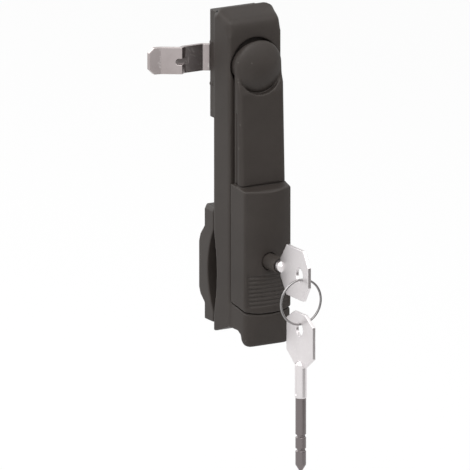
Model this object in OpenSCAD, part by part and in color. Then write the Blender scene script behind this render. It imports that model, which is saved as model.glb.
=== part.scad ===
// Swing-handle door latch with a key lock, a bent cam and a rear clamp bracket.
// Millimetres. The origin is on the spindle axis, in the plane of the door's outer face.
// +Z is up, the handle faces -Y and the cabinet is on the +Y side.
// "Depth" values are measured from the door plane towards the front (-Y), negative behind the door.

/* [Casing] */
// Width of the casing at the door
casing_w = 31.8; // [30:0.1:36]
// Width of the casing at its front face
casing_front_w = 28.8; // [28:0.1:31]
// Height of the casing's top edge above the spindle axis
casing_top = 26.7; // [25.8:0.1:32]
// Distance from the spindle axis down to the casing's bottom edge
casing_drop = 133.1; // [131:0.1:140]
// Thickness of the upright rim next to the door
casing_rim = 1.2; // [0.8:0.1:2.5]
// Height that the top bevel takes up
top_bevel = 4.7; // [2:0.1:7]
// Height that the bottom bevel takes up
bottom_bevel = 4.4; // [2:0.1:6]
// Depth of the front face at the spindle axis
front_depth = 12.5; // [11.5:0.1:13.5]
// Slope of the front face in degrees, thicker towards the bottom
front_slope = 0.2; // [0:0.05:0.6]
// Radius of the round recess that the lever's knuckle turns in
recess_r = 13.2; // [13.1:0.1:14]
// Depth of the recess below the front face
recess_depth = 4; // [3.5:0.1:4.4]
// Radius of the casing's top corners
casing_round = 4.5; // [2:0.1:8]
// Wall left in front of the cored-out pockets
core_wall = 3; // [2:0.1:5]

/* [Rear boss] */
// Width of the boss that passes through the door cut-out
boss_w = 24.8; // [23.6:0.1:26]
// Height of the boss
boss_h = 53.5; // [50:0.1:54]
// Height of the boss centre above the spindle axis
boss_z = -2.45; // [-3:0.05:-1.5]
// Length of the boss behind the door plane
boss_len = 9.9; // [9:0.1:14]
// Thickness of the boss cover plate
cover_t = 1.6; // [1.4:0.1:2]
// Wall beside the boss cover plate
cover_lip = 1; // [0.8:0.1:1.4]
// Width of the seal round the boss
gasket_w = 1.3; // [0.8:0.1:1.6]
// Thickness of the seal round the boss
gasket_t = 1.2; // [0.8:0.1:1.6]

/* [Spindle] */
// Radius of the spindle shaft
spindle_r = 6; // [5.8:0.05:6.2]
// Wall of the bearing bush
bush_wall = 1.5; // [1:0.1:1.8]
// Width across the square end of the spindle
square_w = 8; // [7:0.1:8.2]
// Radius of the spindle's head disc
head_r = 9; // [8:0.1:11]
// Thickness of the spindle's head disc
head_t = 1.2; // [1:0.1:1.4]
// Width of the hinge tongue on the spindle
tongue_w = 7; // [6:0.1:9]
// Radius of the tongue's round end
tongue_r = 3.3; // [3:0.05:3.5]
// Radius of the hinge pin
pin_r = 1.5; // [1.2:0.05:1.8]
// Height of the hinge pin axis in front of the casing's face
pin_lift = 2; // [1.9:0.05:2.3]
// Turn of the spindle in degrees between its stops
turn_range = 90; // [80:1:100]
// Thickness of the stop disc
stop_t = 2.6; // [2:0.1:2.8]
// Width of the fixed stop lug in degrees
stop_lug_angle = 20; // [14:1:30]

/* [Lever] */
// Width of the lever arm
arm_w = 25.4; // [24:0.1:25.6]
// Thickness of the lever arm
arm_t = 6.3; // [5.8:0.1:6.8]
// Gap between the arm and the casing
arm_gap = 1.6; // [1.2:0.1:2]
// Rounding of the arm's front edges
arm_round = 2.2; // [1:0.1:2.4]
// Height of the domed knuckle above its rim
dome_rise = 3.5; // [3:0.1:4]
// Lift of the lever in degrees
lift_range = 20; // [10:1:20]
// Distance from the spindle axis to the step of the grip
grip_start = 57.4; // [52:0.1:60]
// Depth of the grip's crown in front of the casing
grip_t = 13.8; // [13.4:0.1:15]
// Width of the grip next to the casing
grip_w = 28.6; // [27.5:0.1:28.8]
// Radius of the grip's crowned front
crown_r = 40; // [36:1:60]
// Distance from the spindle axis to the end of the grip at the casing
grip_end = 116.8; // [115:0.1:117.4]
// Angle in degrees of the parting face between grip and end block
parting_angle = 15.6; // [12:0.1:18]
// Gap at the parting face
parting_gap = 0.6; // [0.5:0.05:1]
// Number of thumb grooves
groove_count = 8; // [4:1:8]
// Pitch of the thumb grooves
groove_pitch = 2.05; // [1.9:0.05:2.1]
// Radius of a thumb groove
groove_r = 0.6; // [0.3:0.05:0.75]

/* [End block] */
// Distance from the spindle axis to the bottom of the finger lip
lip_drop = 137; // [136:0.1:142]
// Thickness of the finger lip
lip_t = 4.6; // [4:0.1:6]
// Radius of the lip's bottom corners
lip_round = 3; // [1:0.1:5]

/* [Lock] */
// Distance from the spindle axis to the lock axis
lock_drop = 94.8; // [94:0.1:95.6]
// Radius of the lock case
case_r = 8.5; // [8.2:0.1:8.8]
// Radius of the lock plug
plug_r = 6.2; // [6:0.05:6.5]
// Radius of the plug's nose
nose_r = 3.9; // [3.7:0.05:4.2]
// Length of the nose in front of the grip
nose_len = 9.4; // [6:0.1:10]
// Radius of the crank that drives the bolt, equal to the bolt's travel
crank_r = 4.5; // [4:0.1:4.5]
// Radius of the crank pin
crank_pin_r = 1.5; // [1.2:0.05:1.5]
// Thickness of the bolt
bolt_t = 2.6; // [2.2:0.1:2.7]
// Width of the bolt's tongue
bolt_w = 8; // [6:0.1:9]
// Thickness of the strap that holds the bolt
strap_t = 1.3; // [1:0.1:1.35]

/* [Keys] */
// Length of the key bow
bow_len = 26.6; // [22:0.1:28]
// Width of the key bow
bow_w = 25; // [20:0.1:27]
// Thickness of the key bow
bow_t = 1.7; // [1.2:0.1:2.2]
// Radius of the hole in the bow
bow_hole_r = 3.3; // [2.5:0.1:4]
// Distance from the bow's end to its hole
bow_hole_in = 8.2; // [7:0.1:10]
// Radius of the round key shank
shank_r = 2.9; // [2.5:0.05:3]
// Length of the round key shank
shank_len = 15.5; // [13:0.1:15.9]
// Radius of the key blade
blade_r = 2.6; // [2:0.05:2.7]
// Length of the spare key
key_len = 78.5; // [70:0.5:85]
// Length of the shank that shows between nose and bow
shank_show = 1.8; // [1:0.1:6]
// Outer diameter of the key ring
ring_d = 23.2; // [22:0.1:26]
// Diameter of the ring's wire
ring_wire = 1.1; // [0.8:0.1:1.4]

/* [Cam] */
// Width of the cam strip
cam_w = 13.3; // [12:0.1:14]
// Thickness of the cam strip
cam_t = 2; // [1.5:0.1:2.5]
// Reach of the cam from the spindle axis
cam_reach = 41.9; // [40:0.1:60]
// Radius of the cam's round end
cam_end_r = 8; // [7.4:0.1:10]
// Step of the cam away from the boss
cam_step = 1.7; // [1:0.1:3]
// Fall of the cam's ramp from its crest to the tip
cam_ramp = 6.5; // [4:0.1:8]

/* [Clamp bracket] */
// Thickness of the door sheet that is clamped
door_t = 2; // [1:0.1:3]
// Width of the bracket
bracket_w = 30; // [26:0.1:31.8]
// Distance from the spindle axis to the bracket's top
bracket_start = 72.4; // [70:0.1:74]
// Height of the bracket
bracket_h = 57.4; // [57:0.1:59]
// Depth of the bracket's straight ends
bracket_t = 8.7; // [8:0.1:11]
// Extra depth of the bulge in the middle
bulge_t = 5.4; // [3:0.1:7]
// Height of the arch in the bracket
arch_h = 41.6; // [36:0.1:42]
// Depth of the arch in the bracket
arch_t = 5.6; // [5:0.1:7]
// Depth of the matching hollow in the casing
hollow_t = 2.2; // [1:0.1:3]
// Distance from the bracket's ends to its screws
clamp_inset = 3.8; // [3.6:0.1:5]
// Radius of the clamp screws
clamp_screw_r = 1.5; // [1.25:0.05:1.6]

/* [Fits] */
// Radial play of turning fits
run_fit = 0.05; // [0.02:0.01:0.09]
// Play of seated pieces
seat_fit = 0.05; // [0.02:0.01:0.1]
// Gap between pieces that move past each other
move_gap = 0.3; // [0.3:0.05:0.4]
// Play between the bracket and the door sheet
door_play = 0.1; // [0.05:0.01:0.3]
// Gap between the grip and the casing
grip_gap = 0.45; // [0.4:0.05:0.6]

/* [Hidden] */
$fn = 64;

// Margin that lets a cutting tool pass a face
over = 1;
plastic = [0.24, 0.22, 0.21];
dark_plastic = [0.14, 0.13, 0.13];
steel = [0.75, 0.74, 0.74];
dark_steel = [0.45, 0.45, 0.46];
brass = [0.72, 0.58, 0.3];
rubber = [0.08, 0.08, 0.08];

// Casing
function front_at(z) = front_depth - z * tan(front_slope);
recess_floor = front_depth - recess_depth;
boss_top = boss_z + boss_h / 2;
boss_bottom = boss_z - boss_h / 2;
core_top = boss_bottom - 3;
core_bottom = -bracket_start + 2;
core_rib = 2;
core_count = 3;

// Boss
cover_w = boss_w - 2 * cover_lip;
cover_h = boss_h - 2 * cover_lip - 3;
cover_depth = -boss_len + cover_t;
cover_screw_x = cover_w / 2 - 2.8;
cover_screw_z = cover_h / 2 - 4.5;
cover_screw_r = 1.25;
cover_head_r = 2.4;
cover_head_t = 1.15;
cover_screw_len = 7;
lug_r = 1.2;
lug_inset = 0.75;
lug_len = 2.5;
lug_spread = 20.5;

// Spindle and its bearings
bush_r = spindle_r + run_fit + bush_wall;
bush_front = recess_floor - 2.4;
bush_flange_t = 1;
bush_flange_r = bush_r + 1.4;
cavity_r = cover_w / 2 - 1;
cavity_floor = cover_depth + move_gap + stop_t + move_gap + bush_flange_t;
seal_wire_r = 0.9;
seal_r = spindle_r + run_fit + seal_wire_r;
head_back = recess_floor + move_gap;
head_front = head_back + head_t;
pin_depth = front_depth + pin_lift;
barrel_r = pin_depth - head_front - move_gap;
stop_back = cover_depth + move_gap;
stop_r = cavity_r - move_gap - 0.1;
stop_lug_r = stop_r - 2.2;
stop_lug_at = 270;
stop_play = 2.5;
square_front = stop_back + stop_t + move_gap / 2;
cam_front = -boss_len - 0.4;
cam_back = cam_front - cam_t;
square_back = cam_back + 0.2;
cam_bolt_r = 2.5;
cam_bolt_len = 9;
washer_r = 6.5;
washer_t = 1.2;
bolt_head_r = 4.6;
bolt_head_t = 3.5;

// Lever
lever_angle = 2;
knuckle_r = arm_w / 2;
rim_depth = front_depth + 4.1;
dome_depth = rim_depth + dome_rise;
dome_r = (knuckle_r * knuckle_r + dome_rise * dome_rise) / (2 * dome_rise);
knuckle_slope = lift_range + 2;
arm_back_end = front_at(-grip_start) + arm_gap;
arm_front_end = arm_back_end + arm_t;
pocket_half = tongue_w / 2 + 0.4;
pin_half = knuckle_r - 1.5;
crease_r = knuckle_r - 1;
crease_z = -2.1;
groove_line_in = 1.7;
groove_line_w = 0.9;
groove_line_d = 0.8;
groove_line_top = 22;
grip_front = front_at(-lock_drop) + grip_t;
step_angle = 10;
step_round = 1.4;
parting_slope = tan(parting_angle);
parting_depth = front_at(-grip_end);
function parting_r(depth) = grip_end + (depth - parting_depth) * parting_slope;
groove_end = parting_r(grip_front) - 4.3;
groove_half_angle = asin(11.3 / crown_r);

// Lock
lock_z = -lock_drop;
grip_floor_depth = grip_front - 6.1;
cavity_half = 11;
cavity_top = grip_start + 12;
cavity_end = grip_end - 4.2;
strap_back = front_at(-lock_drop - 14) + grip_gap + 0.1;
strap_front = strap_back + strap_t;
bolt_back = strap_front + move_gap;
bolt_front = bolt_back + bolt_t;
plug_back = bolt_front + move_gap;
case_front = grip_front - 2.2;
nose_front = grip_front + nose_len;
nut_t = grip_floor_depth - plug_back;
nut_r = case_r + 2.3;
strap_z = lock_z - 12.2;
strap_h = 5;
strap_x = 8.8;
strap_half = 10.8;
strap_screw_r = 1.1;
strap_head_r = 1.9;
strap_head_t = 0.8;
bolt_plate_half = 8;
bolt_plate_up = 6;
bolt_plate_down = 5;
bolt_end = parting_r(bolt_back) - 0.6;

// Keys
bow_back = nose_front + shank_show;
bow_front = bow_back + bow_len;
key_hole_depth = bow_front - bow_hole_in;
key_stop = plug_back + 0.2;
inserted_len = bow_front - key_stop;
ring_r = (ring_d - ring_wire) / 2;
ring_top = lock_z - bow_hole_r + ring_wire / 2 + move_gap;
ring_z = ring_top - ring_r;
ring_bottom = ring_z - ring_r;
spare_hole_z = ring_bottom + ring_wire / 2 + move_gap - bow_hole_r;
spare_top = spare_hole_z + bow_hole_in;

// Clamp bracket
bracket_front = -door_t - door_play;
bracket_back = bracket_front - bracket_t;
bulge_back = bracket_back - bulge_t;
bracket_end = bracket_start + bracket_h;
arch_z = -(bracket_start + bracket_end) / 2 - 3.1;
arch_r = (arch_h * arch_h / 4 + arch_t * arch_t) / (2 * arch_t);
hollow_r = (arch_h * arch_h / 4 + hollow_t * hollow_t) / (2 * hollow_t);
clamp_z = [-(bracket_start + clamp_inset), -(bracket_end - clamp_inset)];
insert_r = clamp_screw_r + 1.2;
insert_len = 7;
insert_back = 1;
clamp_head_r = 2.75;
clamp_head_t = 3;
clamp_screw_front = insert_back + insert_len - 0.5;

// A straight box between two corners, with depth measured towards the front
module box(x, depth, z) {
    translate([x[0], -depth[1], z[0]])
        cube([x[1] - x[0], depth[1] - depth[0], z[1] - z[0]]);
}

// A round bar along the depth direction
module rod(r, depth, x = 0, z = 0) {
    translate([x, -depth[0], z])
        rotate([90, 0, 0])
            cylinder(r = r, h = depth[1] - depth[0]);
}

// A round bar across the handle
module cross_rod(r, x, depth, z) {
    translate([x[0], -depth, z])
        rotate([0, 90, 0])
            cylinder(r = r, h = x[1] - x[0]);
}

// A side profile of [depth, height] points, carried across the handle
module side_profile(half) {
    translate([-half, 0, 0])
        rotate([90, 0, 90])
            linear_extrude(2 * half)
                mirror([1, 0])
                    children();
}

// A front outline of [x, height] points, carried along the depth
module front_outline(depth) {
    translate([0, -depth[0], 0])
        rotate([90, 0, 0])
            linear_extrude(depth[1] - depth[0])
                children();
}

// A plan section of [x, depth] points, carried along the height
module plan_section(z) {
    translate([0, 0, z[0]])
        linear_extrude(z[1] - z[0])
            mirror([0, 1])
                children();
}

// A sector of a ring in the front view
module sector(r_in, r_out, from, to) {
    steps = 12;
    arc = [for (i = [0 : steps]) from + (to - from) * i / steps];
    reach = r_out / cos((to - from) / (2 * steps));
    intersection() {
        difference() {
            circle(r_out);
            circle(r_in);
        }
        polygon(concat([[0, 0]], [for (a = arc) [reach * cos(a), reach * sin(a)]]));
    }
}

// Plan section shared by the grip and the end block under it
module grip_section(clear) {
    intersection() {
        polygon([
            [-grip_w / 2 + clear, 0],
            [grip_w / 2 - clear, 0],
            [grip_w / 2 - clear, front_depth],
            [arm_w / 2 - clear, grip_front],
            [-arm_w / 2 + clear, grip_front],
            [-grip_w / 2 + clear, front_depth]
        ]);
        translate([0, grip_front - clear - crown_r])
            circle(crown_r, $fn = 128);
    }
}

// Cone round the spindle axis that parts the grip from the end block
module parting_cone(gap) {
    back = 0;
    front = grip_front + 10;
    translate([0, -back, 0])
        rotate([90, 0, 0])
            cylinder(r1 = parting_r(back) + gap, r2 = parting_r(front) + gap, h = front - back, $fn = 180);
}

module casing_shell() {
    intersection() {
        side_profile(casing_w)
            polygon([
                [0, -casing_drop],
                [0, casing_top],
                [casing_rim, casing_top],
                [front_at(casing_top - top_bevel), casing_top - top_bevel],
                [front_at(-casing_drop + bottom_bevel), -casing_drop + bottom_bevel],
                [casing_rim, -casing_drop]
            ]);
        front_outline([-over, 2 * front_depth])
            union() {
                translate([-casing_w / 2, -casing_drop])
                    square([casing_w, casing_drop + casing_top - casing_round]);
                translate([-casing_w / 2 + casing_round, 0])
                    square([casing_w - 2 * casing_round, casing_top]);
                for (side = [-1, 1])
                    translate([side * (casing_w / 2 - casing_round), casing_top - casing_round])
                        circle(casing_round);
            }
        plan_section([-casing_drop - over, casing_top + over])
            polygon([
                [-casing_w / 2, -over],
                [casing_w / 2, -over],
                [casing_w / 2, casing_rim],
                [casing_front_w / 2, front_at(-casing_drop)],
                [-casing_front_w / 2, front_at(-casing_drop)],
                [-casing_w / 2, casing_rim]
            ]);
    }
}

module end_block() {
    difference() {
        intersection() {
            plan_section([-lip_drop - over, -grip_end + 10])
                grip_section(0.15);
            side_profile(grip_w)
                polygon([
                    [0, -grip_end + 8],
                    [grip_front + over, -grip_end + 8],
                    [grip_front + 0.1, -grip_end - 4],
                    [grip_front - 1.4, -lip_drop],
                    [grip_front - 1.4 - lip_t, -lip_drop],
                    [grip_front - 1.6 - lip_t, -casing_drop + 1.6],
                    [grip_front - 3.4 - lip_t, -casing_drop + bottom_bevel - 0.9],
                    [0, -casing_drop + bottom_bevel + 0.2]
                ]);
            front_outline([0, grip_front + 2 * over])
                union() {
                    translate([-grip_w / 2, -lip_drop + lip_round])
                        square([grip_w, lip_drop - grip_end + 10]);
                    translate([-arm_w / 2 + lip_round, -lip_drop])
                        square([arm_w - 2 * lip_round, lip_round + over]);
                    for (side = [-1, 1])
                        translate([side * (arm_w / 2 - lip_round), -lip_drop + lip_round])
                            circle(lip_round);
                }
        }
        parting_cone(parting_gap);
    }
}

module casing_cores() {
    pitch = (core_top - core_bottom + core_rib) / core_count;
    for (i = [0 : core_count - 1])
        let (top = core_top - i * pitch)
            box(
                [-casing_front_w / 2 + core_wall, casing_front_w / 2 - core_wall],
                [-over, front_at(core_top) - core_wall],
                [top - pitch + core_rib, top]
            );
}

module casing() {
    color(plastic) difference() {
        union() {
            casing_shell();
            end_block();
            box([-boss_w / 2, boss_w / 2], [-boss_len, over], [boss_bottom, boss_top]);
            for (side = [-1, 1], up = [-1, 1])
                rod(
                    lug_r,
                    [-boss_len, -boss_len + lug_len],
                    side * (boss_w / 2 - lug_inset),
                    boss_z + up * lug_spread / 2
                );
        }
        // Knuckle recess, seal seat, bush bore and stop cavity on the spindle axis
        rod(recess_r, [recess_floor, front_depth + 6]);
        rod(seal_r + seal_wire_r + seat_fit, [bush_front, recess_floor + over]);
        rod(bush_r + seat_fit, [-boss_len, bush_front + over]);
        difference() {
            rod(cavity_r, [-boss_len - over, cavity_floor]);
            front_outline([cover_depth, stop_back + stop_t + 0.1])
                sector(stop_lug_r, cavity_r + over, stop_lug_at - stop_lug_angle / 2, stop_lug_at + stop_lug_angle / 2);
        }
        box(
            [-cover_w / 2 - seat_fit, cover_w / 2 + seat_fit],
            [-boss_len - over, cover_depth],
            [boss_z - cover_h / 2 - seat_fit, boss_z + cover_h / 2 + seat_fit]
        );
        for (side = [-1, 1], up = [-1, 1])
            rod(
                cover_screw_r + seat_fit,
                [-boss_len, -boss_len + cover_screw_len + over],
                side * cover_screw_x,
                boss_z + up * cover_screw_z
            );
        // Seat of the boss seal
        front_outline([-over, gasket_t])
            difference() {
                gasket_outline(seat_fit);
                translate([-boss_w / 2, boss_bottom])
                    square([boss_w, boss_h]);
            }
        casing_cores();
        // Hollow of the arch and the clamp inserts
        cross_rod(hollow_r, [-casing_w, casing_w], hollow_t - hollow_r, arch_z, $fn = 256);
        for (z = clamp_z)
            rod(insert_r + seat_fit, [-over, insert_back + insert_len + 0.5], 0, z);
        // Keeper pocket for the bolt
        box(
            [-bolt_w / 2 - 0.4, bolt_w / 2 + 0.4],
            [bolt_back - 0.4, bolt_front + 0.4],
            [-bolt_end - crank_r - 0.6, -grip_end + 2]
        );
    }
}

module gasket_outline(grow) {
    side = gasket_w + 1;
    translate([-boss_w / 2 - side - grow, boss_bottom - side - grow])
        square([boss_w + 2 * (side + grow), boss_h + side + gasket_w + 2 * grow]);
}

module boss_gasket() {
    color(rubber)
        front_outline([0, gasket_t])
            difference() {
                gasket_outline(0);
                translate([-boss_w / 2 - seat_fit, boss_bottom - seat_fit])
                    square([boss_w + 2 * seat_fit, boss_h + 2 * seat_fit]);
            }
}

module spindle_bush() {
    color(dark_plastic) difference() {
        union() {
            rod(bush_r, [cavity_floor - bush_flange_t, bush_front]);
            rod(bush_flange_r, [cavity_floor - bush_flange_t, cavity_floor]);
        }
        rod(spindle_r + run_fit, [-boss_len, bush_front + over]);
    }
}

module spindle_seal() {
    color(rubber)
        translate([0, -bush_front - seal_wire_r, 0])
            rotate([90, 0, 0])
                rotate_extrude()
                    translate([seal_r, 0])
                        circle(seal_wire_r, $fn = 24);
}

module boss_cover() {
    color(dark_plastic) difference() {
        box([-cover_w / 2, cover_w / 2], [-boss_len, cover_depth], [boss_z - cover_h / 2, boss_z + cover_h / 2]);
        rod(spindle_r + move_gap, [-boss_len - over, cover_depth + over]);
        for (side = [-1, 1], up = [-1, 1])
            translate([side * cover_screw_x, boss_len, boss_z + up * cover_screw_z])
                cover_screw(seat_fit);
    }
}

// Countersunk screw along the depth, its flat head at the origin
module cover_screw(grow) {
    rotate([90, 0, 0]) {
        translate([0, 0, grow > 0 ? -over : 0])
            cylinder(r = cover_screw_r + grow, h = cover_screw_len + (grow > 0 ? over : 0));
        cylinder(r1 = cover_head_r + grow, r2 = cover_screw_r + grow, h = cover_head_t);
    }
}

module cover_screws() {
    color(steel)
        for (side = [-1, 1], up = [-1, 1])
            translate([side * cover_screw_x, boss_len, boss_z + up * cover_screw_z])
                cover_screw(0);
}

module clamp_bracket() {
    shoulder = bulge_t * 0.72;
    corner = [1.2, 2.4];
    color(plastic) difference() {
        intersection() {
            side_profile(bracket_w / 2)
                polygon([
                    [bracket_front, -bracket_start],
                    [bracket_back, -bracket_start],
                    [bracket_back, arch_z + 0.5 * arch_h],
                    [bracket_back - shoulder, arch_z + 0.39 * arch_h],
                    [bulge_back, arch_z + 0.29 * arch_h],
                    [bulge_back, arch_z - 0.26 * arch_h],
                    [bracket_back - shoulder, arch_z - 0.34 * arch_h],
                    [bracket_back, arch_z - 0.42 * arch_h],
                    [bracket_back, -bracket_end],
                    [bracket_front, -bracket_end]
                ]);
            front_outline([bulge_back - over, 0])
                polygon([
                    [-bracket_w / 2, -bracket_start - corner[1]],
                    [-bracket_w / 2 + corner[0], -bracket_start],
                    [bracket_w / 2 - corner[0], -bracket_start],
                    [bracket_w / 2, -bracket_start - corner[1]],
                    [bracket_w / 2, -bracket_end],
                    [-bracket_w / 2, -bracket_end]
                ]);
        }
        cross_rod(arch_r, [-bracket_w, bracket_w], bracket_front - arch_t + arch_r, arch_z, $fn = 180);
        for (z = clamp_z) {
            rod(clamp_screw_r + seat_fit, [bulge_back - over, bracket_front + over], 0, z);
            rod(clamp_head_r + 0.3, [bulge_back - over, bracket_back + clamp_head_t], 0, z);
        }
    }
}

module clamp_inserts() {
    color(brass)
        for (z = clamp_z)
            difference() {
                rod(insert_r, [insert_back, insert_back + insert_len], 0, z);
                rod(clamp_screw_r + seat_fit, [insert_back - over, insert_back + insert_len + over], 0, z);
            }
}

module clamp_screws() {
    color(steel)
        for (z = clamp_z)
            difference() {
                union() {
                    rod(clamp_screw_r, [bracket_back + clamp_head_t, clamp_screw_front], 0, z);
                    rod(clamp_head_r, [bracket_back + 0.2, bracket_back + clamp_head_t], 0, z);
                }
                translate([0, -bracket_back, z])
                    rotate([90, 0, 0])
                        cylinder(r = 1.4, h = 1.8, $fn = 6);
            }
}

module spindle() {
    color(dark_steel) difference() {
        union() {
            rod(head_r, [head_back, head_front]);
            rod(spindle_r, [square_front, head_back + 0.5]);
            box([-square_w / 2, square_w / 2], [square_back, square_front + over], [-square_w / 2, square_w / 2]);
            box([-tongue_w / 2, tongue_w / 2], [head_back + 0.5, pin_depth], [-tongue_r, tongue_r]);
            cross_rod(tongue_r, [-tongue_w / 2, tongue_w / 2], pin_depth, 0);
        }
        cross_rod(pin_r + run_fit, [-tongue_w, tongue_w], pin_depth, 0);
        rod(cam_bolt_r + seat_fit, [square_back - over, square_back + cam_bolt_len]);
    }
}

module stop_disc() {
    color(steel) difference() {
        rod(stop_r, [stop_back, stop_back + stop_t]);
        box(
            [-square_w / 2 - seat_fit, square_w / 2 + seat_fit],
            [stop_back - over, stop_back + stop_t + over],
            [-square_w / 2 - seat_fit, square_w / 2 + seat_fit]
        );
        front_outline([stop_back - over, stop_back + stop_t + over])
            sector(
                stop_lug_r - 0.3,
                stop_r + over,
                stop_lug_at - stop_lug_angle / 2 - stop_play - turn_range,
                stop_lug_at + stop_lug_angle / 2 + stop_play
            );
    }
}

// Edge of a bent strip, set off sideways from its middle line
function unit(v) = v / norm(v);
function strip_edge(path, off) = [
    for (i = [0 : len(path) - 1])
        let (
            a = unit(path[max(i, 1)] - path[max(i, 1) - 1]),
            k = min(i, len(path) - 2),
            b = unit(path[k + 1] - path[k]),
            across = unit([-a[1] - b[1], a[0] + b[0]])
        )
            path[i] + across * off / (across * [-a[1], a[0]])
];
function backwards(list) = [for (i = [len(list) - 1 : -1 : 0]) list[i]];

module cam() {
    mid = cam_front - cam_t / 2;
    low = mid - cam_step;
    crest = low + 1.5;
    bend = [
        [cam_end_r + over, mid],
        [-boss_w / 2 + 0.4, mid],
        [-boss_w / 2 - 2.4, low],
        [-0.594 * cam_reach, low],
        [-0.637 * cam_reach, crest],
        [-0.85 * cam_reach, crest - cam_ramp * 0.8],
        [-cam_reach - over, crest - 1.05 * cam_ramp]
    ];
    tip = 2.6;
    color(steel) difference() {
        intersection() {
            plan_section([-cam_end_r - over, cam_end_r + over])
                polygon(concat(
                    strip_edge(bend, cam_t / 2),
                    backwards(strip_edge(bend, -cam_t / 2))
                ));
            front_outline([cam_back - cam_reach, cam_front + over])
                union() {
                    circle(cam_end_r);
                    polygon([
                        [0, cam_w / 2],
                        [-cam_reach + tip, cam_w / 2],
                        [-cam_reach, cam_w / 2 - tip],
                        [-cam_reach, -cam_w / 2 + tip],
                        [-cam_reach + tip, -cam_w / 2],
                        [0, -cam_w / 2]
                    ]);
                }
        }
        box(
            [-square_w / 2 - seat_fit, square_w / 2 + seat_fit],
            [cam_back - over, cam_front + over],
            [-square_w / 2 - seat_fit, square_w / 2 + seat_fit]
        );
    }
}

module cam_washer() {
    color(steel) difference() {
        rod(washer_r, [cam_back - washer_t, cam_back]);
        rod(cam_bolt_r + seat_fit, [cam_back - washer_t - over, cam_back + over]);
    }
}

module cam_screw() {
    head_front_depth = cam_back - washer_t;
    color(steel) {
        rod(cam_bolt_r, [head_front_depth - 0.5, square_back + cam_bolt_len - 1]);
        translate([0, -head_front_depth + bolt_head_t, 0])
            rotate([90, 0, 0])
                cylinder(r = bolt_head_r, h = bolt_head_t, $fn = 6);
    }
}

module lever_knuckle() {
    under_r = barrel_r - 0.1;
    intersection() {
        rod(knuckle_r, [0, dome_depth + over]);
        translate([0, -dome_depth + dome_r, 0])
            sphere(dome_r, $fn = 128);
        side_profile(arm_w)
            union() {
                polygon([
                    [pin_depth, 0],
                    [pin_depth - under_r * cos(knuckle_slope), under_r * sin(knuckle_slope)],
                    [
                        pin_depth - under_r * cos(knuckle_slope) + 2 * knuckle_r * sin(knuckle_slope),
                        under_r * sin(knuckle_slope) + 2 * knuckle_r * cos(knuckle_slope)
                    ],
                    [2 * dome_depth, 2 * knuckle_r],
                    [2 * dome_depth, -2 * knuckle_r],
                    [arm_back_end, -2 * knuckle_r],
                    [arm_back_end, -barrel_r],
                    [pin_depth, -barrel_r]
                ]);
                translate([pin_depth, 0])
                    circle(barrel_r);
            }
    }
}

module lever_arm() {
    inner = arm_w / 2 - arm_round;
    difference() {
        translate([0, -arm_front_end, -grip_start])
            rotate([-lever_angle, 0, 0])
                plan_section([-6, grip_start - 1.5])
                    union() {
                        translate([-arm_w / 2, -arm_t - 6])
                            square([arm_w, arm_t + 6 - arm_round]);
                        translate([-inner, -arm_t - 6])
                            square([2 * inner, arm_t + 6]);
                        for (side = [-1, 1])
                            translate([side * inner, -arm_round])
                                circle(arm_round);
                    }
        // Space under the arm, and the round seat of the dome
        box([-arm_w, arm_w], [-over, arm_back_end], [-2 * grip_start, grip_start]);
        rod(crease_r, [rim_depth - 0.6, dome_depth + 4], 0, crease_z);
        side_profile(arm_w)
            polygon([
                [rim_depth + 0.3, crease_z - 1.5],
                [arm_front_end - 1.1, crease_z - crease_r - 1],
                [3 * dome_depth, crease_z - crease_r - 1],
                [3 * dome_depth, 2 * knuckle_r],
                [rim_depth + 0.3, 2 * knuckle_r]
            ]);
        // Line along both sides
        for (side = [-1, 1])
            translate([side * arm_w / 2, 0, 0])
                box(
                    [-groove_line_d, groove_line_d],
                    [arm_back_end + groove_line_in, arm_back_end + groove_line_in + groove_line_w],
                    [-grip_start - 8, -groove_line_top]
                );
    }
}

module lever_grip() {
    grip_back = front_at(-grip_start) + grip_gap;
    difference() {
        intersection() {
            plan_section([-lip_drop, -grip_start + over])
                grip_section(0);
            side_profile(grip_w)
                polygon([
                    [grip_back, -grip_start],
                    [grip_front - step_round, -grip_start - (grip_front - step_round - grip_back) * tan(step_angle)],
                    [grip_front + over, -grip_start - (grip_front - grip_back) * tan(step_angle) - step_round],
                    [grip_front + over, -lip_drop],
                    [front_at(-lip_drop) + grip_gap, -lip_drop]
                ]);
            parting_cone(0);
        }
        // Thumb grooves round the crown
        for (i = [0 : groove_count - 1])
            translate([0, crown_r - grip_front, -groove_end + i * groove_pitch])
                rotate([0, 0, -90 - groove_half_angle])
                    rotate_extrude(angle = 2 * groove_half_angle, $fn = 180)
                        translate([crown_r, 0])
                            circle(groove_r, $fn = 24);
    }
}

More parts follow.
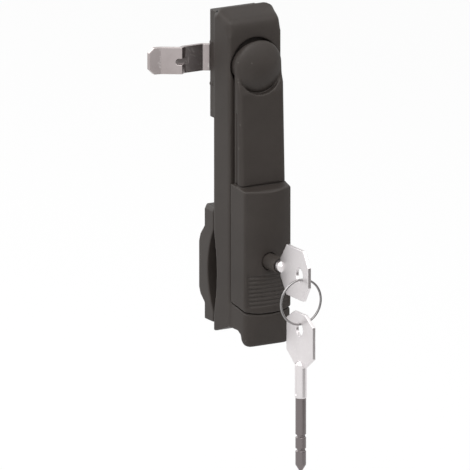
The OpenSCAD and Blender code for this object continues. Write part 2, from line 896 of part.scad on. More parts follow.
module lever() {
    post_r = 2.1;
    color(plastic) difference() {
        union() {
            lever_knuckle();
            lever_arm();
            difference() {
                lever_grip();
                box([-cavity_half, cavity_half], [0, grip_floor_depth], [-cavity_end, -cavity_top]);
            }
            // Posts for the strap and a rib across the hollow
            for (side = [-1, 1])
                rod(post_r, [strap_front, grip_floor_depth + over], side * strap_x, strap_z);
            box(
                [-cavity_half - over, cavity_half + over],
                [front_at(-cavity_top) + 2 * grip_gap, grip_floor_depth + over],
                [-cavity_top - 8, -cavity_top - 6.4]
            );
        }
        // Hinge pocket and pin bore
        side_profile(pocket_half)
            union() {
                translate([pin_depth, 0])
                    circle(tongue_r + move_gap);
                polygon([
                    [0, -tongue_r - move_gap],
                    [pin_depth, -tongue_r - move_gap],
                    [pin_depth, tongue_r + move_gap],
                    [head_front - 2, tongue_r + 3.4],
                    [0, tongue_r + 3.4]
                ]);
            }
        cross_rod(pin_r + seat_fit, [-pin_half, knuckle_r + over], pin_depth, 0);
        // Lock bore, nose hole, strap screws and the bolt's way out
        rod(case_r + seat_fit, [grip_floor_depth - over, case_front], 0, lock_z);
        rod(nose_r + move_gap, [case_front - over, nose_front], 0, lock_z);
        for (side = [-1, 1])
            rod(strap_screw_r + seat_fit, [strap_back, strap_front + 4.5], side * strap_x, strap_z);
        box(
            [-bolt_w / 2 - move_gap, bolt_w / 2 + move_gap],
            [0, bolt_front + move_gap],
            [-lip_drop, -cavity_end + over]
        );
    }
}

module hinge_pin() {
    color(steel)
        cross_rod(pin_r, [-pin_half + 0.3, pin_half], pin_depth, 0);
}

module lock_case() {
    color(dark_steel) difference() {
        rod(case_r, [plug_back, case_front], 0, lock_z);
        rod(plug_r + run_fit, [plug_back - over, case_front - 0.8], 0, lock_z);
        rod(nose_r + move_gap, [plug_back - over, case_front + over], 0, lock_z);
    }
}

module lock_nut() {
    color(steel) difference() {
        translate([0, -plug_back, lock_z])
            rotate([90, 0, 0])
                cylinder(r = nut_r, h = nut_t, $fn = 6);
        rod(case_r + seat_fit, [plug_back - over, plug_back + nut_t + over], 0, lock_z);
    }
}

module bolt_strap() {
    color(steel) difference() {
        box([-strap_half, strap_half], [strap_back, strap_front], [strap_z - strap_h / 2, strap_z + strap_h / 2]);
        for (side = [-1, 1]) {
            rod(strap_screw_r + seat_fit, [strap_back - over, strap_front + over], side * strap_x, strap_z);
            rod(strap_head_r + seat_fit, [strap_back - over, strap_back + strap_head_t], side * strap_x, strap_z);
        }
    }
}

module strap_screws() {
    color(dark_steel)
        for (side = [-1, 1]) {
            rod(strap_head_r, [strap_back + 0.1, strap_back + strap_head_t], side * strap_x, strap_z);
            rod(strap_screw_r, [strap_back + strap_head_t, strap_front + 4], side * strap_x, strap_z);
        }
}

module lock_plug() {
    color(plastic) difference() {
        union() {
            rod(plug_r, [plug_back, case_front - 0.8 - move_gap], 0, lock_z);
            rod(nose_r, [plug_back, nose_front], 0, lock_z);
            rod(crank_pin_r, [bolt_back + 0.1, plug_back + over], -crank_r, lock_z);
        }
        rod(shank_r + move_gap, [bow_back - shank_len - move_gap, nose_front + over], 0, lock_z);
        rod(blade_r + move_gap, [plug_back - over, nose_front], 0, lock_z);
    }
}

module lock_bolt() {
    slot_top = crank_pin_r + move_gap + 0.1;
    slot_bottom = crank_pin_r + move_gap + 0.22 * crank_r + 0.1;
    slot_end = crank_r + crank_pin_r + move_gap + 0.1;
    color(steel) difference() {
        union() {
            box(
                [-bolt_plate_half, bolt_plate_half],
                [bolt_back, bolt_front],
                [lock_z - bolt_plate_down, lock_z + bolt_plate_up]
            );
            box([-bolt_w / 2, bolt_w / 2], [bolt_back, bolt_front], [-bolt_end, lock_z]);
        }
        box(
            [-slot_end, crank_pin_r + move_gap + 0.1],
            [bolt_back - over, bolt_front + over],
            [lock_z - slot_bottom, lock_z + slot_top]
        );
    }
}

// Key along +X from the outer end of its bow, with the bow in the XY plane
module key(length) {
    flank = bow_w / 2;
    bow_cut = 0.38 * flank;
    tip = 3;
    color(steel) difference() {
        union() {
            translate([0, 0, -bow_t / 2])
                linear_extrude(bow_t)
                    difference() {
                        polygon([
                            [0, -0.4 * flank],
                            [0, 0.4 * flank],
                            [bow_cut, flank],
                            [bow_len - 1.25 * bow_cut, flank],
                            [bow_len, 0.36 * flank],
                            [bow_len, -0.36 * flank],
                            [bow_len - 1.25 * bow_cut, -flank],
                            [bow_cut, -flank]
                        ]);
                        translate([bow_hole_in, 0])
                            circle(bow_hole_r);
                    }
            rotate([0, 90, 0]) {
                translate([0, 0, bow_len - 1])
                    cylinder(r = shank_r, h = shank_len + 1);
                translate([0, 0, bow_len - 2.4])
                    cylinder(r1 = 0.5 * shank_r, r2 = shank_r, h = 1.4);
                translate([0, 0, bow_len])
                    cylinder(r = blade_r, h = length - bow_len - tip);
                translate([0, 0, length - tip])
                    cylinder(r1 = blade_r, r2 = 0.8, h = tip);
            }
        }
        // Long grooves on both sides of the shank
        for (side = [-1, 1])
            translate([bow_len + 1.5, -0.6, side * shank_r - 0.5])
                cube([shank_len - 3, 1.2, 1]);
    }
}

module inserted_key() {
    translate([0, -bow_front, lock_z])
        rotate([90, 0, 90])
            key(inserted_len);
}

module key_ring() {
    color(steel)
        translate([0, -key_hole_depth, ring_z])
            rotate([90, 0, 0])
                rotate_extrude($fn = 128)
                    translate([ring_r, 0])
                        circle(ring_wire / 2, $fn = 24);
}

module spare_key() {
    notch_at = [0.78 * key_len, 0.865 * key_len];
    difference() {
        translate([0, -key_hole_depth, spare_top])
            rotate([0, 90, 0])
                key(key_len);
        for (u = notch_at)
            translate([0, -key_hole_depth - blade_r, spare_top - u])
                cube([2 * blade_r + over, 1.2, 1.4], center = true);
    }
}

casing();
boss_gasket();
spindle_bush();
spindle_seal();
boss_cover();
cover_screws();
clamp_bracket();
clamp_inserts();
clamp_screws();
spindle();
stop_disc();
cam();
cam_washer();
cam_screw();
lever();
hinge_pin();
lock_case();
lock_nut();
bolt_strap();
strap_screws();
lock_plug();
lock_bolt();
inserted_key();
key_ring();
spare_key();
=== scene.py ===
import math
import bmesh
import bpy
import numpy as np
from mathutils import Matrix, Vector


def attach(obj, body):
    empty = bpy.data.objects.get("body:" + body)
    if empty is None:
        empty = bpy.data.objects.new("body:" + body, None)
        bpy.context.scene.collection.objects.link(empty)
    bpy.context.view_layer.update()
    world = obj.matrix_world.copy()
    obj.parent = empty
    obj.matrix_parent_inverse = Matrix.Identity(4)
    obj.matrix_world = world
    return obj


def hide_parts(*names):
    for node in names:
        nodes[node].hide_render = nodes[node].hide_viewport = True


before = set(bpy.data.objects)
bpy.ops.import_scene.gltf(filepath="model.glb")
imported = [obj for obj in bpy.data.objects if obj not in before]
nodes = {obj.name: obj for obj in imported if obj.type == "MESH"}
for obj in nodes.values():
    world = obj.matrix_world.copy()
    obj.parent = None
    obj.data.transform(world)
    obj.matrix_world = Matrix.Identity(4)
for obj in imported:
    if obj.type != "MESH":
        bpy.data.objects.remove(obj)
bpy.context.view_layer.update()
scene = bpy.context.scene
mm = 0.001
weldGap = 0.002 * mm  # corners closer than this are one
print("frame loaded:", len(nodes), "nodes")


# node helpers

def newGroup(name, inputs, outputs):
    tree = bpy.data.node_groups.new(name, "ShaderNodeTree")
    for label, kind, value in inputs:
        socket = tree.interface.new_socket(name=label, in_out="INPUT", socket_type=kind)
        socket.default_value = value
    for label, kind in outputs:
        tree.interface.new_socket(name=label, in_out="OUTPUT", socket_type=kind)
    start = tree.nodes.new("NodeGroupInput")
    end = tree.nodes.new("NodeGroupOutput")
    return tree, start, end


def addNode(tree, kind, **values):
    node = tree.nodes.new(kind)
    for key, value in values.items():
        setattr(node, key, value)
    return node


def mathNode(tree, operation, first, second=None, clamp=False):
    node = addNode(tree, "ShaderNodeMath", operation=operation, use_clamp=clamp)
    for index, value in enumerate((first, second)):
        if value is None:
            continue
        if isinstance(value, (int, float)):
            node.inputs[index].default_value = value
        else:
            tree.links.new(value, node.inputs[index])
    return node.outputs[0]


def noiseAt(tree, coords, scale, detail, rough):
    node = addNode(tree, "ShaderNodeTexNoise")
    tree.links.new(coords, node.inputs["Vector"])
    if isinstance(scale, (int, float)):
        node.inputs["Scale"].default_value = scale
    else:
        tree.links.new(scale, node.inputs["Scale"])
    node.inputs["Detail"].default_value = detail
    node.inputs["Roughness"].default_value = rough
    return node.outputs["Fac"]


# shared surface effects

def makeMouldGrain():
    # eroded mould texture: fine pebbles with a slow drift
    tree, start, end = newGroup(
        "mouldGrain",
        [("Scale", "NodeSocketFloat", 3200.0), ("Drift", "NodeSocketFloat", 60.0)],
        [("Height", "NodeSocketFloat"), ("Mottle", "NodeSocketFloat")],
    )
    coords = addNode(tree, "ShaderNodeTexCoord").outputs["Object"]
    fine = noiseAt(tree, coords, start.outputs["Scale"], 2.0, 0.6)
    slow = noiseAt(tree, coords, start.outputs["Drift"], 4.0, 0.6)
    tree.links.new(fine, end.inputs["Height"])
    tree.links.new(slow, end.inputs["Mottle"])
    return tree


edgeHighlightLook = dict(flat=0.505, spread=1.2, least=0.2)  # pointiness of a flat face, and how far noise breaks up the painted edge highlight


def makePaintedEdgeHighlight(look):
    # mask of a painted highlight on convex edges, broken up by noise
    tree, start, end = newGroup(
        "edgeRub",
        [("Sharpness", "NodeSocketFloat", 14.0), ("Breakup", "NodeSocketFloat", 900.0)],
        [("Mask", "NodeSocketFloat")],
    )
    point = addNode(tree, "ShaderNodeNewGeometry").outputs["Pointiness"]
    raised = mathNode(tree, "SUBTRACT", point, look["flat"])
    raised = mathNode(tree, "MULTIPLY", raised, start.outputs["Sharpness"], clamp=True)
    coords = addNode(tree, "ShaderNodeTexCoord").outputs["Object"]
    broken = noiseAt(tree, coords, start.outputs["Breakup"], 3.0, 0.6)
    broken = mathNode(tree, "MULTIPLY_ADD", broken, look["spread"])
    broken.node.inputs[2].default_value = look["least"]
    mask = mathNode(tree, "MULTIPLY", raised, broken, clamp=True)
    tree.links.new(mask, end.inputs["Mask"])
    return tree


cloudScale = 110.0  # slow clouding of bare metal


def makeRollMarks():
    # drawn lines of rolled or milled metal, stretched along one axis
    tree, start, end = newGroup(
        "rollMarks",
        [("Stretch", "NodeSocketVector", (1.0, 1.0, 1.0)), ("Scale", "NodeSocketFloat", 900.0)],
        [("Lines", "NodeSocketFloat"), ("Cloud", "NodeSocketFloat")],
    )
    coords = addNode(tree, "ShaderNodeTexCoord").outputs["Object"]
    scaled = addNode(tree, "ShaderNodeVectorMath", operation="MULTIPLY")
    tree.links.new(coords, scaled.inputs[0])
    tree.links.new(start.outputs["Stretch"], scaled.inputs[1])
    lines = noiseAt(tree, scaled.outputs[0], start.outputs["Scale"], 3.0, 0.6)
    cloud = noiseAt(tree, coords, cloudScale, 4.0, 0.6)
    tree.links.new(lines, end.inputs["Lines"])
    tree.links.new(cloud, end.inputs["Cloud"])
    return tree


mouldGrain = makeMouldGrain()
edgeRub = makePaintedEdgeHighlight(edgeHighlightLook)
rollMarks = makeRollMarks()
print("surface effects built")


def placeGroup(tree, group, **values):
    node = addNode(tree, "ShaderNodeGroup", node_tree=group)
    for key, value in values.items():
        node.inputs[key].default_value = value
    return node


def mixColour(tree, factor, first, second):
    node = addNode(tree, "ShaderNodeMix", data_type="RGBA")
    tree.links.new(factor, node.inputs[0])
    for index, value in ((6, first), (7, second)):
        if isinstance(value, tuple):
            node.inputs[index].default_value = value
        else:
            tree.links.new(value, node.inputs[index])
    return node.outputs[2]


noiseSpan = (0.3, 0.7)  # where nearly all values of a noise lie


def remap(tree, value, low, high):
    node = addNode(tree, "ShaderNodeMapRange")
    tree.links.new(value, node.inputs["Value"])
    node.inputs["From Min"].default_value = noiseSpan[0]
    node.inputs["From Max"].default_value = noiseSpan[1]
    node.inputs["To Min"].default_value = low
    node.inputs["To Max"].default_value = high
    return node.outputs["Result"]


def startMaterial(name):
    material = bpy.data.materials.new(name)
    material.use_nodes = True
    tree = material.node_tree
    shader = tree.nodes["Principled BSDF"]
    return material, tree, shader


def addBump(tree, shader, height, strength, distance):
    bump = addNode(tree, "ShaderNodeBump")
    bump.inputs["Strength"].default_value = strength
    bump.inputs["Distance"].default_value = distance
    tree.links.new(height, bump.inputs["Height"])
    tree.links.new(bump.outputs["Normal"], shader.inputs["Normal"])


def mouldedPlastic(name, look):
    material, tree, shader = startMaterial(name)
    grain = placeGroup(tree, mouldGrain, Scale=look["grainScale"], Drift=look["driftScale"])
    edgeHighlight = placeGroup(tree, edgeRub, Sharpness=look["edgeHighlight"])
    base = mixColour(tree, remap(tree, grain.outputs["Mottle"], 0.0, 1.0), look["dark"], look["light"])
    # convex edges are painted lighter as a highlight
    withEdgeHighlight = mixColour(tree, edgeHighlight.outputs["Mask"], base, look["edge"])
    tree.links.new(withEdgeHighlight, shader.inputs["Base Color"])
    tree.links.new(remap(tree, grain.outputs["Height"], look["rough"][0], look["rough"][1]), shader.inputs["Roughness"])
    shader.inputs["Specular IOR Level"].default_value = look["specular"]
    addBump(tree, shader, grain.outputs["Height"], look["bump"], look["bumpDepth"])
    return material


def shadeBlade(tree, colour, blade):
    # the blade below the shank is coloured darker grey than the bow
    coords = addNode(tree, "ShaderNodeTexCoord").outputs["Object"]
    split = addNode(tree, "ShaderNodeSeparateXYZ")
    tree.links.new(coords, split.inputs[0])
    below = mathNode(tree, "LESS_THAN", split.outputs["Z"], blade["start"])
    return mixColour(tree, below, colour, blade["colour"])


def metalFinish(name, look):
    material, tree, shader = startMaterial(name)
    marks = placeGroup(tree, rollMarks, Stretch=look["stretch"], Scale=look["scale"])
    edgeHighlight = placeGroup(tree, edgeRub, Sharpness=look["edgeHighlight"])
    base = mixColour(tree, remap(tree, marks.outputs["Cloud"], 0.0, 1.0), look["dark"], look["light"])
    # convex edges are painted lighter as a highlight
    withEdgeHighlight = mixColour(tree, edgeHighlight.outputs["Mask"], base, look["edge"])
    if "blade" in look:
        withEdgeHighlight = shadeBlade(tree, withEdgeHighlight, look["blade"])
    tree.links.new(withEdgeHighlight, shader.inputs["Base Color"])
    tree.links.new(remap(tree, marks.outputs["Lines"], look["rough"][0], look["rough"][1]), shader.inputs["Roughness"])
    shader.inputs["Metallic"].default_value = 1.0
    addBump(tree, shader, marks.outputs["Lines"], look["bump"], look["bumpDepth"])
    return material


# the edge colour of each look is a painted highlight on its convex edges
charcoalLook = dict(
    dark=(0.029, 0.0237, 0.0205, 1), light=(0.036, 0.0295, 0.0258, 1), edge=(0.066, 0.058, 0.052, 1),
    grainScale=2600.0, driftScale=45.0, edgeHighlight=9.0, rough=(0.46, 0.56), specular=0.27, bump=0.16, bumpDepth=0.00012,
)
blackLook = dict(
    dark=(0.012, 0.0115, 0.0115, 1), light=(0.018, 0.017, 0.017, 1), edge=(0.05, 0.048, 0.047, 1),
    grainScale=3400.0, driftScale=70.0, edgeHighlight=7.0, rough=(0.36, 0.46), specular=0.45, bump=0.1, bumpDepth=0.00008,
)
sealLook = dict(
    dark=(0.010, 0.010, 0.010, 1), light=(0.016, 0.016, 0.016, 1), edge=(0.03, 0.03, 0.03, 1),
    grainScale=2200.0, driftScale=90.0, edgeHighlight=4.0, rough=(0.7, 0.85), specular=0.25, bump=0.22, bumpDepth=0.0001,
)
zincLook = dict(
    dark=(0.39, 0.345, 0.34, 1), light=(0.44, 0.395, 0.39, 1), edge=(0.58, 0.54, 0.53, 1),
    stretch=(0.08, 1.0, 1.0), scale=2400.0, edgeHighlight=8.0, rough=(0.34, 0.44), bump=0.1, bumpDepth=0.00004,
)
castLook = dict(
    dark=(0.34, 0.34, 0.345, 1), light=(0.46, 0.46, 0.465, 1), edge=(0.62, 0.62, 0.62, 1),
    stretch=(1.0, 1.0, 1.0), scale=1500.0, edgeHighlight=8.0, rough=(0.38, 0.55), bump=0.25, bumpDepth=0.00008,
)
keyLook = dict(
    dark=(0.74, 0.705, 0.71, 1), light=(0.79, 0.755, 0.76, 1), edge=(0.8, 0.77, 0.77, 1),
    stretch=(1.0, 1.0, 0.08), scale=2200.0, edgeHighlight=10.0, rough=(0.3, 0.4), bump=0.06, bumpDepth=0.00003,
    blade=dict(start=-0.1557, colour=(0.21, 0.185, 0.185, 1)),
)
ringLook = dict(
    dark=(0.26, 0.25, 0.25, 1), light=(0.31, 0.30, 0.30, 1), edge=(0.4, 0.39, 0.39, 1),
    stretch=(1.0, 1.0, 1.0), scale=2600.0, edgeHighlight=4.0, rough=(0.2, 0.3), bump=0.05, bumpDepth=0.00002,
)
brassLook = dict(
    dark=(0.58, 0.40, 0.16, 1), light=(0.72, 0.52, 0.24, 1), edge=(0.85, 0.68, 0.38, 1),
    stretch=(1.0, 0.1, 1.0), scale=1800.0, edgeHighlight=8.0, rough=(0.28, 0.42), bump=0.12, bumpDepth=0.00005,
)

charcoal = mouldedPlastic("charcoalMoulding", charcoalLook)
blackPlastic = mouldedPlastic("blackMoulding", blackLook)
sealRubber = mouldedPlastic("sealRubber", sealLook)
zincSteel = metalFinish("zincPlatedSteel", zincLook)
castZinc = metalFinish("castZinc", castLook)
keyNickel = metalFinish("nickelKey", keyLook)
ringWire = metalFinish("ringWire", ringLook)
turnedBrass = metalFinish("turnedBrass", brassLook)
print("materials built")


# finish of each CAD node that keeps its solid, and the width in mm of its rounded edges
nodeFinish = {
    "boss_gasket": (sealRubber, 0.2),
    "spindle_seal": (sealRubber, 0),
    "spindle_bush": (blackPlastic, 0.2),
    "boss_cover": (blackPlastic, 0.2),
    "lock_plug": (charcoal, 0.35),
    "cover_screws": (zincSteel, 0.1),
    "clamp_screws": (zincSteel, 0.2),
    "clamp_inserts": (turnedBrass, 0.2),
    "spindle": (castZinc, 0.25),
    "stop_disc": (zincSteel, 0.15),
    "cam_washer": (zincSteel, 0.15),
    "cam_screw": (zincSteel, 0.3),
    "hinge_pin": (zincSteel, 0.2),
    "lock_case": (castZinc, 0.2),
    "lock_nut": (zincSteel, 0.2),
    "bolt_strap": (zincSteel, 0.15),
    "strap_screws": (zincSteel, 0.1),
    "lock_bolt": (zincSteel, 0.2),
    "key_ring": (ringWire, 0),
}


roundLook = dict(segments=2, angle=32)  # edges sharper than this angle are rounded


def roundEdges(obj, width, look):
    weld = obj.modifiers.new("weld", "WELD")
    weld.merge_threshold = weldGap
    if width > 0:
        bevel = obj.modifiers.new("softEdges", "BEVEL")
        bevel.width = width * mm
        bevel.segments = look["segments"]
        bevel.limit_method = "ANGLE"
        bevel.angle_limit = math.radians(look["angle"])
        bevel.use_clamp_overlap = True
        bevel.harden_normals = True


for name, (finish, width) in nodeFinish.items():
    obj = nodes[name]
    obj.data.materials.clear()
    obj.data.materials.append(finish)
    roundEdges(obj, width, roundLook)
    for polygon in obj.data.polygons:
        polygon.use_smooth = True
print("finishes set on", len(nodeFinish), "nodes")


# pieces with soft edges: the solid is remeshed finely and its outer edges are relaxed
def ramp(values, low, high):
    return np.clip((values - low) / (high - low), 0.0, 1.0)


# where edges are relaxed, in mm: each pair runs from no effect to full effect
softZones = dict(
    allOver=dict(),
    casingTop=dict(height=(15.0, 19.0), depth=(2.8, 5.0)),
    casingEdges=dict(across=(12.6, 13.4), depth=(6.0, 8.0), height=(-131.0, -127.0)),
    endBlock=dict(depth=(18.6, 20.6), height=(-118.5, -122.0)),
    leverEdges=dict(across=(9.5, 10.5), depth=(17.0, 18.5)),
    domeRim=dict(reach=(10.2, 11.0), depth=(14.5, 15.5), height=(-9.0, -5.0)),
    domeCrown=dict(reach=(9.5, 8.5), middle=-2.1, depth=(15.0, 16.0)),
)


def zoneWeight(zone, places):
    across, depth, height = places[:, 0] / mm, -places[:, 1] / mm, places[:, 2] / mm
    measures = dict(
        across=np.abs(across), reach=np.hypot(across, height - zone.get("middle", 0.0)), depth=depth, height=height
    )
    weight = np.ones(len(places))
    for label, values in measures.items():
        if label in zone:
            weight *= ramp(values, *zone[label])
    return weight


# pointed dart pressed through the cam's crest: outline in x and z, floor and front in depth behind the door face
camDart = dict(moves=[(-24.9, -0.4), (-26.7, -0.85)], band=0.7, floor=12.05, front=8.0,
               outline=[(-23.0, 1.1), (-29.0, 1.0), (-31.2, -0.5), (-29.0, -2.0), (-23.0, -2.1)])

slotFinish = {"plastic": charcoal, "key_steel": keyNickel, "steel": zincSteel}
softPieces = [
    dict(node="casing", name="casingMoulding", body="housing", voxel=0.36, keep=0.4,
         passes=[("allOver", 3), ("casingEdges", 24), ("endBlock", 40), ("casingTop", 190)]),
    dict(node="lever", name="leverMoulding", body="lever", voxel=0.3, keep=0.4,
         passes=[("allOver", 4), ("leverEdges", 14), ("domeRim", 70), ("domeCrown", 30)],
         crease=dict(top=-57.4, back=12.95, slope=0.176, width=0.8, fade=0.3, deep=0.75,
                     level=(0.6, 0.3), depth=(14.6, 15.4), facing=(0.3, 0.6))),
    dict(node="clamp_bracket", name="bracketMoulding", body="housing", voxel=0.34, keep=0.4,
         passes=[("allOver", 6)]),
    dict(node="inserted_key", name="keyInLock", body="key", voxel=0.17, keep=0.5, slot="key_steel",
         passes=[("allOver", 4)]),
    dict(node="spare_key", name="spareKeyBlank", body="spare", voxel=0.17, keep=0.5, slot="key_steel",
         passes=[("allOver", 4)],
         wards=dict(heights=(-174.7, -181.6), half=0.8, fade=0.4, deep=0.75, across=(-0.86, 0.5), facing=(0.55, 0.8))),
    dict(node="cam", name="camStrip", body="spindle", voxel=0.16, keep=0.4, slot="steel",
         passes=[("allOver", 3)], dart=camDart),
]


def readPoints(mesh, field):
    values = np.empty(len(mesh.vertices) * 3)
    mesh.vertices.foreach_get(field, values)
    return values.reshape(-1, 3)


def writePoints(mesh, places):
    mesh.vertices.foreach_set("co", places.ravel())
    mesh.update()


def moveCrest(mesh, look):
    # the cam's crest and the end of its flat lie a little further out
    places = readPoints(mesh, "co")
    across = places[:, 0] / mm
    for start, shift in look["moves"]:
        places[:, 0] += np.where(np.abs(across - start) < look["band"], shift * mm, 0.0)
    writePoints(mesh, places)


def makeDart(look):
    corners = look["outline"]
    count = len(corners)
    points = [(x * mm, depth * mm, z * mm) for depth in (look["front"], look["floor"]) for x, z in corners]
    faces = [tuple(range(count)), tuple(range(count, 2 * count))]
    faces += [(i, i + count, (i + 1) % count + count, (i + 1) % count) for i in range(count)]
    mesh = bpy.data.meshes.new("dartTool")
    mesh.from_pydata(points, [], faces)
    shape = bmesh.new()
    shape.from_mesh(mesh)
    bmesh.ops.recalc_face_normals(shape, faces=shape.faces)
    shape.to_mesh(mesh)
    shape.free()
    tool = bpy.data.objects.new("dartTool", mesh)
    scene.collection.objects.link(tool)
    return tool


def remeshNode(look):
    raw = bpy.data.objects.new(look["name"] + "Raw", nodes[look["node"]].data.copy())
    scene.collection.objects.link(raw)
    weld = raw.modifiers.new("weld", "WELD")
    weld.merge_threshold = weldGap
    tools = []
    if "dart" in look:
        moveCrest(raw.data, look["dart"])
        tools.append(makeDart(look["dart"]))
        cut = raw.modifiers.new("dart", "BOOLEAN")
        cut.operation = "DIFFERENCE"
        cut.solver = "EXACT"
        cut.object = tools[0]
    remesh = raw.modifiers.new("remesh", "REMESH")
    remesh.mode = "VOXEL"
    remesh.voxel_size = look["voxel"] * mm
    bpy.context.view_layer.update()
    mesh = bpy.data.meshes.new_from_object(raw.evaluated_get(bpy.context.evaluated_depsgraph_get()))
    for spent in [raw] + tools:
        bpy.data.objects.remove(spent)
    mesh.name = look["name"]
    return mesh


def relaxMesh(mesh, passes):
    places = readPoints(mesh, "co")
    count = len(places)
    ends = np.empty(len(mesh.edges) * 2, dtype=np.int32)
    mesh.edges.foreach_get("vertices", ends)
    first, second = ends[0::2], ends[1::2]
    for zone, times in passes:
        weight = zoneWeight(softZones[zone], places)
        near = (weight[first] > 0) | (weight[second] > 0)
        a, b = first[near], second[near]
        degree = np.maximum(np.bincount(a, minlength=count) + np.bincount(b, minlength=count), 1)
        share = (0.5 * weight / degree)[:, None]
        for turn in range(times):
            pull = np.empty_like(places)
            for axis in range(3):
                gap = places[b, axis] - places[a, axis]
                pull[:, axis] = np.bincount(a, gap, count) - np.bincount(b, gap, count)
            places += pull * share
    writePoints(mesh, places)


def pressCrease(mesh, look):
    # line pressed into the arm just above the sloping ledge of the grip
    places = readPoints(mesh, "co")
    normals = readPoints(mesh, "normal")
    depth = -places[:, 1] / mm
    above = places[:, 2] / mm - look["top"] + (depth - look["back"]) * look["slope"]
    near = ramp(np.abs(above - 0.5 * look["width"]), look["width"], look["fade"] * look["width"])
    outward = ramp(normals[:, 2], *look["level"]) * ramp(depth, *look["depth"])
    outward *= ramp(np.abs(normals[:, 0]) - normals[:, 1], *look["facing"])
    places -= normals * (near * outward * look["deep"] * mm)[:, None]
    writePoints(mesh, places)


def pressWards(mesh, look):
    # ward cuts on both sides of the spare key's blade
    places = readPoints(mesh, "co")
    normals = readPoints(mesh, "normal")
    sideways = np.abs(normals[:, 0] * look["across"][0] + normals[:, 1] * look["across"][1])
    for height in look["heights"]:
        near = ramp(np.abs(places[:, 2] / mm - height), look["half"], look["fade"] * look["half"])
        places -= normals * (near * ramp(sideways, *look["facing"]) * look["deep"] * mm)[:, None]
    writePoints(mesh, places)


def makeSoftPiece(look):
    slot = look.get("slot", "plastic")
    mesh = remeshNode(look)
    relaxMesh(mesh, look["passes"])
    if "crease" in look:
        pressCrease(mesh, look["crease"])
    if "wards" in look:
        pressWards(mesh, look["wards"])
    mesh.materials.clear()
    mesh.materials.append(slotFinish[slot])
    mesh.polygons.foreach_set("use_smooth", [True] * len(mesh.polygons))
    piece = bpy.data.objects.new(look["name"], mesh)
    scene.collection.objects.link(piece)
    thin = piece.modifiers.new("thinOut", "DECIMATE")
    thin.ratio = look["keep"]
    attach(piece, look["body"])
    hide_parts(look["node"])
    print(look["name"], len(mesh.vertices), "points")


for look in softPieces:
    makeSoftPiece(look)


# camera at the photograph's angle
cameraLook = dict(azimuth=30.0, elevation=14.6, distance=8.0, target=(0, 0.00705, -0.0893),
                  pixelsPerMm=2.07, imageSize=470, sensor=36.0, clip=(0.05, 40))


def makeCamera(look):
    az = math.radians(look["azimuth"])
    el = math.radians(look["elevation"])
    away = Vector((-math.sin(az) * math.cos(el), -math.cos(az) * math.cos(el), math.sin(el)))
    target = Vector(look["target"])
    data = bpy.data.cameras.new("photoCamera")
    data.sensor_width = look["sensor"]
    data.sensor_fit = "HORIZONTAL"
    span = look["imageSize"] / look["pixelsPerMm"] * mm
    data.lens = look["sensor"] * look["distance"] / span
    data.clip_start, data.clip_end = look["clip"]
    camera = bpy.data.objects.new("photoCamera", data)
    camera.location = target + away * look["distance"]
    camera.rotation_euler = (-away).to_track_quat("-Z", "Y").to_euler()
    scene.collection.objects.link(camera)
    scene.camera = camera


makeCamera(cameraLook)


# lamps, world and floor
lampAim = (0, 0, -0.07)
lampLook = [
    dict(name="keyLamp", place=(-0.6, -0.45, 0.85), size=1.1, power=9.0),
    dict(name="fillLamp", place=(0.1, -0.5, 0.6), size=1.0, power=3.6),
    dict(name="backLamp", place=(-0.6, 1.1, 0.6), size=1.0, power=8.0),
]
floorLook = dict(height=-0.235, reach=6.0, colour=(0.9, 0.9, 0.9, 1), seenShare=0.9)


def makeLamp(look):
    data = bpy.data.lights.new(look["name"], "AREA")
    data.energy = look["power"]
    data.size = look["size"]
    lamp = bpy.data.objects.new(look["name"], data)
    lamp.location = look["place"]
    aim = Vector(lampAim) - lamp.location
    lamp.rotation_euler = aim.to_track_quat("-Z", "Y").to_euler()
    scene.collection.objects.link(lamp)


# soft light of the surroundings: bright on the left and above, dim in front on the right
worldLook = dict(lean=(-0.8, 0.25, 0.45), middle=0.52, swing=0.62, low=0.2, high=1.1, diffuseShare=0.75)


def seenRays(tree):
    # rays that meet the white background: straight from the camera, mirrored or through glass
    rays = addNode(tree, "ShaderNodeLightPath")
    seen = mathNode(tree, "ADD", rays.outputs["Is Camera Ray"], rays.outputs["Is Glossy Ray"])
    return mathNode(tree, "ADD", seen, rays.outputs["Is Transmission Ray"], clamp=True)


def makeWorld(look):
    world = bpy.data.worlds.new("studio")
    world.use_nodes = True
    tree = world.node_tree
    back = tree.nodes["Background"]
    back.inputs["Color"].default_value = (1, 1, 1, 1)
    way = addNode(tree, "ShaderNodeTexCoord").outputs["Generated"]
    lean = addNode(tree, "ShaderNodeVectorMath", operation="DOT_PRODUCT")
    tree.links.new(way, lean.inputs[0])
    lean.inputs[1].default_value = look["lean"]
    level = mathNode(tree, "MULTIPLY_ADD", lean.outputs["Value"], look["swing"])
    level.node.inputs[2].default_value = look["middle"]
    level = mathNode(tree, "MAXIMUM", mathNode(tree, "MINIMUM", level, look["high"]), look["low"])
    level = mathNode(tree, "MULTIPLY", level, look["diffuseShare"])
    seen = seenRays(tree)
    unseen = mathNode(tree, "MULTIPLY", mathNode(tree, "SUBTRACT", 1.0, seen), level)
    tree.links.new(mathNode(tree, "ADD", seen, unseen), back.inputs["Strength"])
    scene.world = world


def bareMaterial(name):
    material = bpy.data.materials.new(name)
    material.use_nodes = True
    tree = material.node_tree
    tree.nodes.clear()
    out = addNode(tree, "ShaderNodeOutputMaterial")
    return material, tree, out


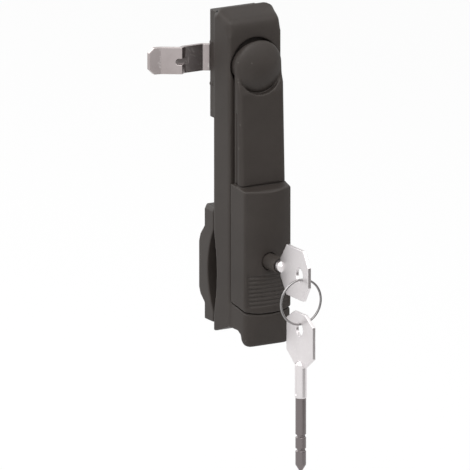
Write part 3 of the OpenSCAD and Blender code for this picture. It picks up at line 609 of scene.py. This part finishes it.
def makeFloor(look):
    material, tree, out = bareMaterial("paleFloor")
    paint = addNode(tree, "ShaderNodeBsdfDiffuse")
    paint.inputs["Color"].default_value = look["colour"]
    glow = addNode(tree, "ShaderNodeEmission")
    glow.inputs["Color"].default_value = (1, 1, 1, 1)
    seen = mathNode(tree, "MULTIPLY", seenRays(tree), look["seenShare"])
    mix = addNode(tree, "ShaderNodeMixShader")
    tree.links.new(seen, mix.inputs["Fac"])
    tree.links.new(paint.outputs[0], mix.inputs[1])
    tree.links.new(glow.outputs[0], mix.inputs[2])
    tree.links.new(mix.outputs[0], out.inputs["Surface"])
    mesh = bpy.data.meshes.new("paleFloor")
    reach = look["reach"]
    mesh.from_pydata(
        [(-reach, -reach, 0), (reach, -reach, 0), (reach, reach, 0), (-reach, reach, 0)], [], [(0, 1, 2, 3)]
    )
    floor = bpy.data.objects.new("paleFloor", mesh)
    floor.location.z = look["height"]
    mesh.materials.append(material)
    scene.collection.objects.link(floor)


# dark studio card in front on the right: metal and gloss mirror it, nothing else meets it
cardLook = dict(way=(0.5, -0.866, 0.0), away=0.32, middle=-0.13, width=0.34, height=0.2, colour=(0.16, 0.15, 0.145, 1))


def makeCard(look):
    material, tree, out = bareMaterial("darkCard")
    glow = addNode(tree, "ShaderNodeEmission")
    glow.inputs["Color"].default_value = look["colour"]
    tree.links.new(glow.outputs[0], out.inputs["Surface"])
    mesh = bpy.data.meshes.new("darkCard")
    wide, tall = 0.5 * look["width"], 0.5 * look["height"]
    mesh.from_pydata([(-wide, 0, -tall), (wide, 0, -tall), (wide, 0, tall), (-wide, 0, tall)], [], [(0, 1, 2, 3)])
    mesh.materials.append(material)
    card = bpy.data.objects.new("darkCard", mesh)
    card.location = Vector(look["way"]) * look["away"] + Vector((0, 0, look["middle"]))
    card.rotation_euler.z = math.atan2(look["way"][0], -look["way"][1])
    card.visible_camera = False
    card.visible_diffuse = False
    card.visible_shadow = False
    scene.collection.objects.link(card)


for look in lampLook:
    makeLamp(look)
makeWorld(worldLook)
makeFloor(floorLook)
makeCard(cardLook)
scene.view_settings.view_transform = "Standard"
print("camera, lamps and floor set")
